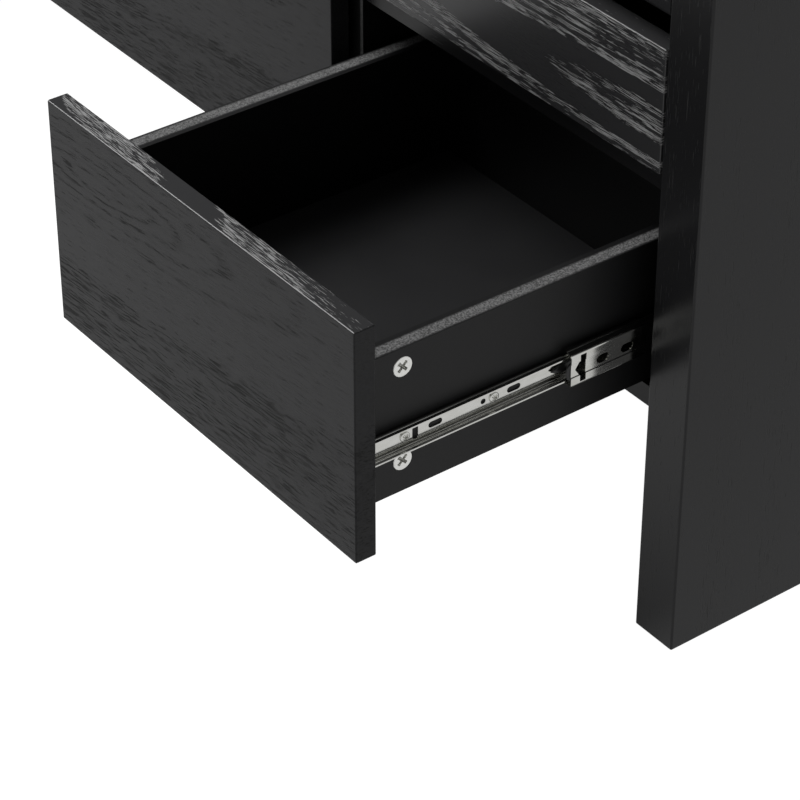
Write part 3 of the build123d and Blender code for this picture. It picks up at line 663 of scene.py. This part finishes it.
def rail_bumpers(drawer, material):
    """Crescent clips on the front ends of the middle rails: the section shrinks to a point at both horns.

    Along the clip the height is a sine and the reach in front of the rail a cosine of the same angle.
    """
    front = (sum(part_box(f"{drawer}_front"), Vector()) / 2).x
    grids = []
    for points in solids(f"{drawer}_middle_rails"):
        low, high = points.min(axis=0), points.max(axis=0)
        out = 1 if (low[0] + high[0]) / 2 > front else -1
        web = high[0] if out > 0 else low[0]
        turn = np.linspace(-np.pi / 2, np.pi / 2, 24)[:, None]
        around = np.linspace(0, 2 * np.pi, 16, endpoint=False)
        bulge = BUMPER_REACH / 2 * np.cos(turn)
        wide = np.where(np.abs(turn) == np.pi / 2, 0, BUMPER_THICK / 2)
        across = wide * np.sign(np.cos(around)) * np.abs(np.cos(around)) ** BUMPER_SQUARE
        along = -bulge + bulge * np.sin(around)
        clip = np.stack(np.broadcast_arrays(across, along, BUMPER_HALF * np.sin(turn)), axis=-1)
        origin = np.array((web - out * BUMPER_INSET * MM, low[1], (low[2] + high[2]) / 2))
        grids.append(origin + clip * MM)
    return closed_mesh(f"{drawer}_rail_bumpers", grids, material, f"{drawer}_middle", "black_plastic")


melamine = black_melamine("melamine_matt_black")
hardboard = black_hardboard("hardboard_lacquered_black")
zinc = zinc_steel("steel_zinc_plated")
cast = nickel_zinc("zinc_casting_nickel_plated")
plastic = black_plastic("polypropylene_black")
dowel_wood = beech("beech_bare")

# Pores of each foil: size along, into and across the face, depth, tone and rarity
# the upper fronts' pale pore tone is a painted highlight; the lower fronts are the same foil with dark
# pores
UPPER_HIGHLIT_PORE = ((16.0, 2.4, 0.5), 0.08, "#868686", 0.785)
LOWER_PORE = ((24.0, 3.0, 0.9), 0.04, "#1a1a1a", 0.68)
LEG_PORE = ((14.0, 0.7, 0.7), 0.02, "#242424", 0.78)
TOP_PORE = ((24.0, 0.6, 1.2), 0.1, "#5a5a5a", 0.78)
STRETCHER_PORE = ((30.0, 0.8, 0.8), 0.03, "#343434", 0.78)

# Tones between and along the rings
UPPER_GROUND = ("#2b2b2c", "#282829")
LOWER_GROUND = ("#282829", "#161617")
QUIET_GROUND = ("#1b1b1c", "#19191a")
TOP_GROUND = ("#1c1c1d", "#18181a")

# Specular level of the fronts and tone of the painted highlight on their upper front corners, matched
UPPER_SHINE = 0.44
LOWER_SHINE = 0.133
UPPER_ARRIS_HIGHLIGHT = "#747474"
LOWER_ARRIS_HIGHLIGHT = "#b8b8b8"

# Middle of the log in each foil, in metres
UPPER_HEART = 0.034             # up from a front's lower edge
LOWER_HEART = (0.29, 0.038)     # left of a front's right end, and down from its upper edge
LEG_HEART = (0.02, 0.12, -0.2)  # right of a leg's middle, behind its front edge, and up from the floor
TOP_HEART = (0.2, 0.03)         # behind the top's front edge, and down from its underside

# Direction of the log in each foil
UPPER_TURN = (0, 0, math.radians(6))
LOWER_TURN = (0, math.radians(4), math.radians(8.5))
LEG_TURN = (0, math.pi / 2, 0)
TOP_TURN = (0, math.radians(3), 0)

for drawer in DRAWERS:
    low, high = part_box(f"{drawer}_front")
    if "upper" in drawer:
        heart = Vector((high.x, low.y, low.z + UPPER_HEART))
        strip = (low, high, QUIET_STRIP, UPPER_ARRIS_HIGHLIGHT)
        foil = black_oak(f"oak_foil_{drawer}_front", heart, UPPER_TURN, STREAKED_RINGS, UPPER_HIGHLIT_PORE,
                         UPPER_GROUND, strip, UPPER_SHINE)
    else:
        heart = Vector((high.x - LOWER_HEART[0], low.y, high.z - LOWER_HEART[1]))
        strip = (low, high, STREAKED_STRIP, LOWER_ARRIS_HIGHLIGHT)
        foil = black_oak(f"oak_foil_{drawer}_front", heart, LOWER_TURN, PLAIN_RINGS, LOWER_PORE,
                         LOWER_GROUND, strip, LOWER_SHINE)
    dress(f"{drawer}_front", foil)
    for piece, axis, inwards in (("left_side", "X", 1), ("right_side", "X", -1), ("back", "Y", -1)):
        low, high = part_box(f"{drawer}_{piece}")
        outer = getattr(low if inwards > 0 else high, axis.lower())
        # painted lit band along the board's upper edge
        lit = ("Z", high.z, -1, axis, outer + inwards * LIT_MIDDLE * MM, LIT_HALF, PAINTED_LIT_TONES)
        dress(f"{drawer}_{piece}", black_melamine(f"melamine_{drawer}_{piece}", lit))
    dress(f"{drawer}_bottom", hardboard)
    for piece in ("drawer_rails", "middle_rails", "cabinet_rails", "screws", "cam_fittings",
                  "ball_cages"):
        dress(f"{drawer}_{piece}", zinc)
    dress(f"{drawer}_release_levers", plastic)
    pan_head_screws(f"{drawer}_screws", f"{drawer}_drawer", zinc)
    cams_and_bolts(f"{drawer}_cam_fittings", f"{drawer}_drawer", cast)
    ball_strips(f"{drawer}_ball_cages", f"{drawer}_middle", zinc)
    moulded_levers(f"{drawer}_release_levers", f"{drawer}_drawer", plastic)
    rail_bumpers(drawer, plastic)
for side in ("left", "right"):
    low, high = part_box(f"{side}_leg")
    heart = Vector(((low.x + high.x) / 2 + LEG_HEART[0], low.y + LEG_HEART[1], LEG_HEART[2]))
    dress(f"{side}_leg", black_oak(f"oak_foil_{side}_leg", heart, LEG_TURN, QUIET_RINGS, LEG_PORE,
                                   QUIET_GROUND))
low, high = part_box("top_panel")
heart = Vector((low.x, low.y + TOP_HEART[0], low.z - TOP_HEART[1]))
dress("top_panel", black_oak("oak_foil_top", heart, TOP_TURN, STREAKED_RINGS, TOP_PORE, TOP_GROUND))
low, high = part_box("stretchers")
dress("stretchers", black_oak("oak_foil_stretchers", low, (0, 0, 0), QUIET_RINGS, STRETCHER_PORE,
                              QUIET_GROUND))
dress("base_panel", melamine)
low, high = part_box("divider")
# painted highlight on the divider's front corner
lit = ("Y", low.y, 1, "X", high.x - ARRIS_MIDDLE * MM, ARRIS_HALF, ARRIS_HIGHLIGHT_TONES)
dress("divider", black_melamine("melamine_divider", lit))
dress("runner_spacers", melamine)
dress("back_panel", hardboard)
dress("dowels", dowel_wood)
for node in ("panel_cam_fittings", "runner_screws", "back_screws"):
    dress(node, zinc)
for node in ("runner_screws", "back_screws"):
    pan_head_screws(node, "cabinet", zinc)
cams_and_bolts("panel_cam_fittings", "cabinet", cast)

# Camera at the photograph's place
AZIMUTH, ELEVATION, ROLL = (math.radians(angle) for angle in (52.979, 35.575, 0.061))
FOCAL_PIXELS = 3126.5
IMAGE_SIDE = 800
CAMERA_PLACE = Vector((1787.9, -1215.7, 1396.0)) * MM
back = Vector((math.sin(AZIMUTH) * math.cos(ELEVATION), -math.cos(AZIMUTH) * math.cos(ELEVATION),
               math.sin(ELEVATION)))
right = Vector((0, 0, 1)).cross(back).normalized()
up = back.cross(right)
turned_right = math.cos(ROLL) * right + math.sin(ROLL) * up
turned_up = math.cos(ROLL) * up - math.sin(ROLL) * right
camera = bpy.data.objects.new("camera", bpy.data.cameras.new("camera"))
camera.data.sensor_width = 36
camera.data.lens = FOCAL_PIXELS / IMAGE_SIDE * camera.data.sensor_width
camera.data.clip_end = 50
facing = Matrix((turned_right, turned_up, back)).transposed().to_4x4()
camera.matrix_world = Matrix.Translation(CAMERA_PLACE) @ facing
scene.collection.objects.link(camera)
scene.camera = camera

# White studio: the floor and the room are pure white to the eye, and greyer as a source of light
HORIZON_LIGHT = 0.5
CEILING_LIGHT = 0.05
FLOOR_LIGHT = 0.6
SHADE = 0.5                     # share of the floor's glow left under the cabinet: painted shade
SHADE_SIDE = (0.54, 0.58)       # metres to either side and along Y over which it fades in
SHADE_FRONT = (-0.24, -0.06)
WALL_RISE = (0.1, 0.6)          # sine of the angle above the horizon over which the light falls off
PAPER_GREY = 0.15               # how much of the lamps' light the floor gives back
world = bpy.data.worlds.new("studio")
scene.world = world
world.use_nodes = True
world.node_tree.nodes.clear()
seen = add(world.node_tree, "ShaderNodeLightPath").outputs["Is Camera Ray"]
look = add(world.node_tree, "ShaderNodeSeparateXYZ",
           {"Vector": add(world.node_tree, "ShaderNodeTexCoord").outputs["Generated"]})
wall = add(world.node_tree, "ShaderNodeMapRange",
           {"Value": look.outputs["Z"], "From Min": WALL_RISE[0], "From Max": WALL_RISE[1],
            "To Min": HORIZON_LIGHT, "To Max": CEILING_LIGHT}, interpolation_type="SMOOTHSTEP")
strength = add(world.node_tree, "ShaderNodeMath", {0: seen, 1: wall.outputs[0]}, operation="MAXIMUM")
room = add(world.node_tree, "ShaderNodeBackground",
           {"Color": (1, 1, 1, 1), "Strength": strength.outputs[0]})
add(world.node_tree, "ShaderNodeOutputWorld", {"Surface": room.outputs[0]})

paper = bpy.data.materials.new("white_paper")
paper.use_nodes = True
paper.node_tree.nodes.clear()
seen = add(paper.node_tree, "ShaderNodeLightPath").outputs["Is Camera Ray"]
spot = add(paper.node_tree, "ShaderNodeSeparateXYZ",
           {"Vector": add(paper.node_tree, "ShaderNodeTexCoord").outputs["Object"]})
aside = add(paper.node_tree, "ShaderNodeMath", {0: spot.outputs["X"]}, operation="ABSOLUTE")
# painted shade: the floor's glow is dimmed under and in front of the cabinet
under = add(paper.node_tree, "ShaderNodeMapRange",
            {"Value": aside.outputs[0], "From Min": SHADE_SIDE[1], "From Max": SHADE_SIDE[0],
             "To Min": FLOOR_LIGHT, "To Max": FLOOR_LIGHT * SHADE})
shaded = add(paper.node_tree, "ShaderNodeMapRange",
             {"Value": spot.outputs["Y"], "From Min": SHADE_FRONT[0], "From Max": SHADE_FRONT[1],
              "To Min": FLOOR_LIGHT, "To Max": under.outputs[0]}, interpolation_type="SMOOTHSTEP")
strength = add(paper.node_tree, "ShaderNodeMapRange",
               {"Value": seen, "To Min": shaded.outputs[0], "To Max": 1.0})
glow = add(paper.node_tree, "ShaderNodeEmission", {"Strength": strength.outputs[0]})
matt = add(paper.node_tree, "ShaderNodeBsdfDiffuse", {"Color": (PAPER_GREY, PAPER_GREY, PAPER_GREY, 1)})
both = add(paper.node_tree, "ShaderNodeAddShader", {0: glow.outputs[0], 1: matt.outputs[0]})
add(paper.node_tree, "ShaderNodeOutputMaterial", {"Surface": both.outputs[0]})

FLOOR_REACH = 30.0
floor_mesh = bpy.data.meshes.new("floor")
corners = [(x * FLOOR_REACH, y * FLOOR_REACH, 0) for x, y in ((-1, -1), (1, -1), (1, 1), (-1, 1))]
floor_mesh.from_pydata(corners, [], [(0, 1, 2, 3)])
floor_mesh.materials.append(paper)
floor = bpy.data.objects.new("floor", floor_mesh)
scene.collection.objects.link(floor)


def softbox(name, place, target, size, power):
    """Square area light that looks at a point."""
    light = bpy.data.lights.new(name, "AREA")
    light.size = size
    light.energy = power
    box = bpy.data.objects.new(name, light)
    box.location = place
    box.rotation_euler = (Vector(target) - Vector(place)).to_track_quat("-Z", "Y").to_euler()
    scene.collection.objects.link(box)


AIM = (0.35, -0.2, 0.3)
softbox("front_left_softbox", (-0.9, -1.2, 2.7), AIM, 1.2, 40)
softbox("top_left_softbox", (-1.5, -0.6, 2.2), AIM, 1.2, 34)
softbox("overhead_softbox", (0.3, -0.1, 3.0), AIM, 3.0, 8)

scene.view_settings.view_transform = "Standard"
scene.cycles.use_denoising = True
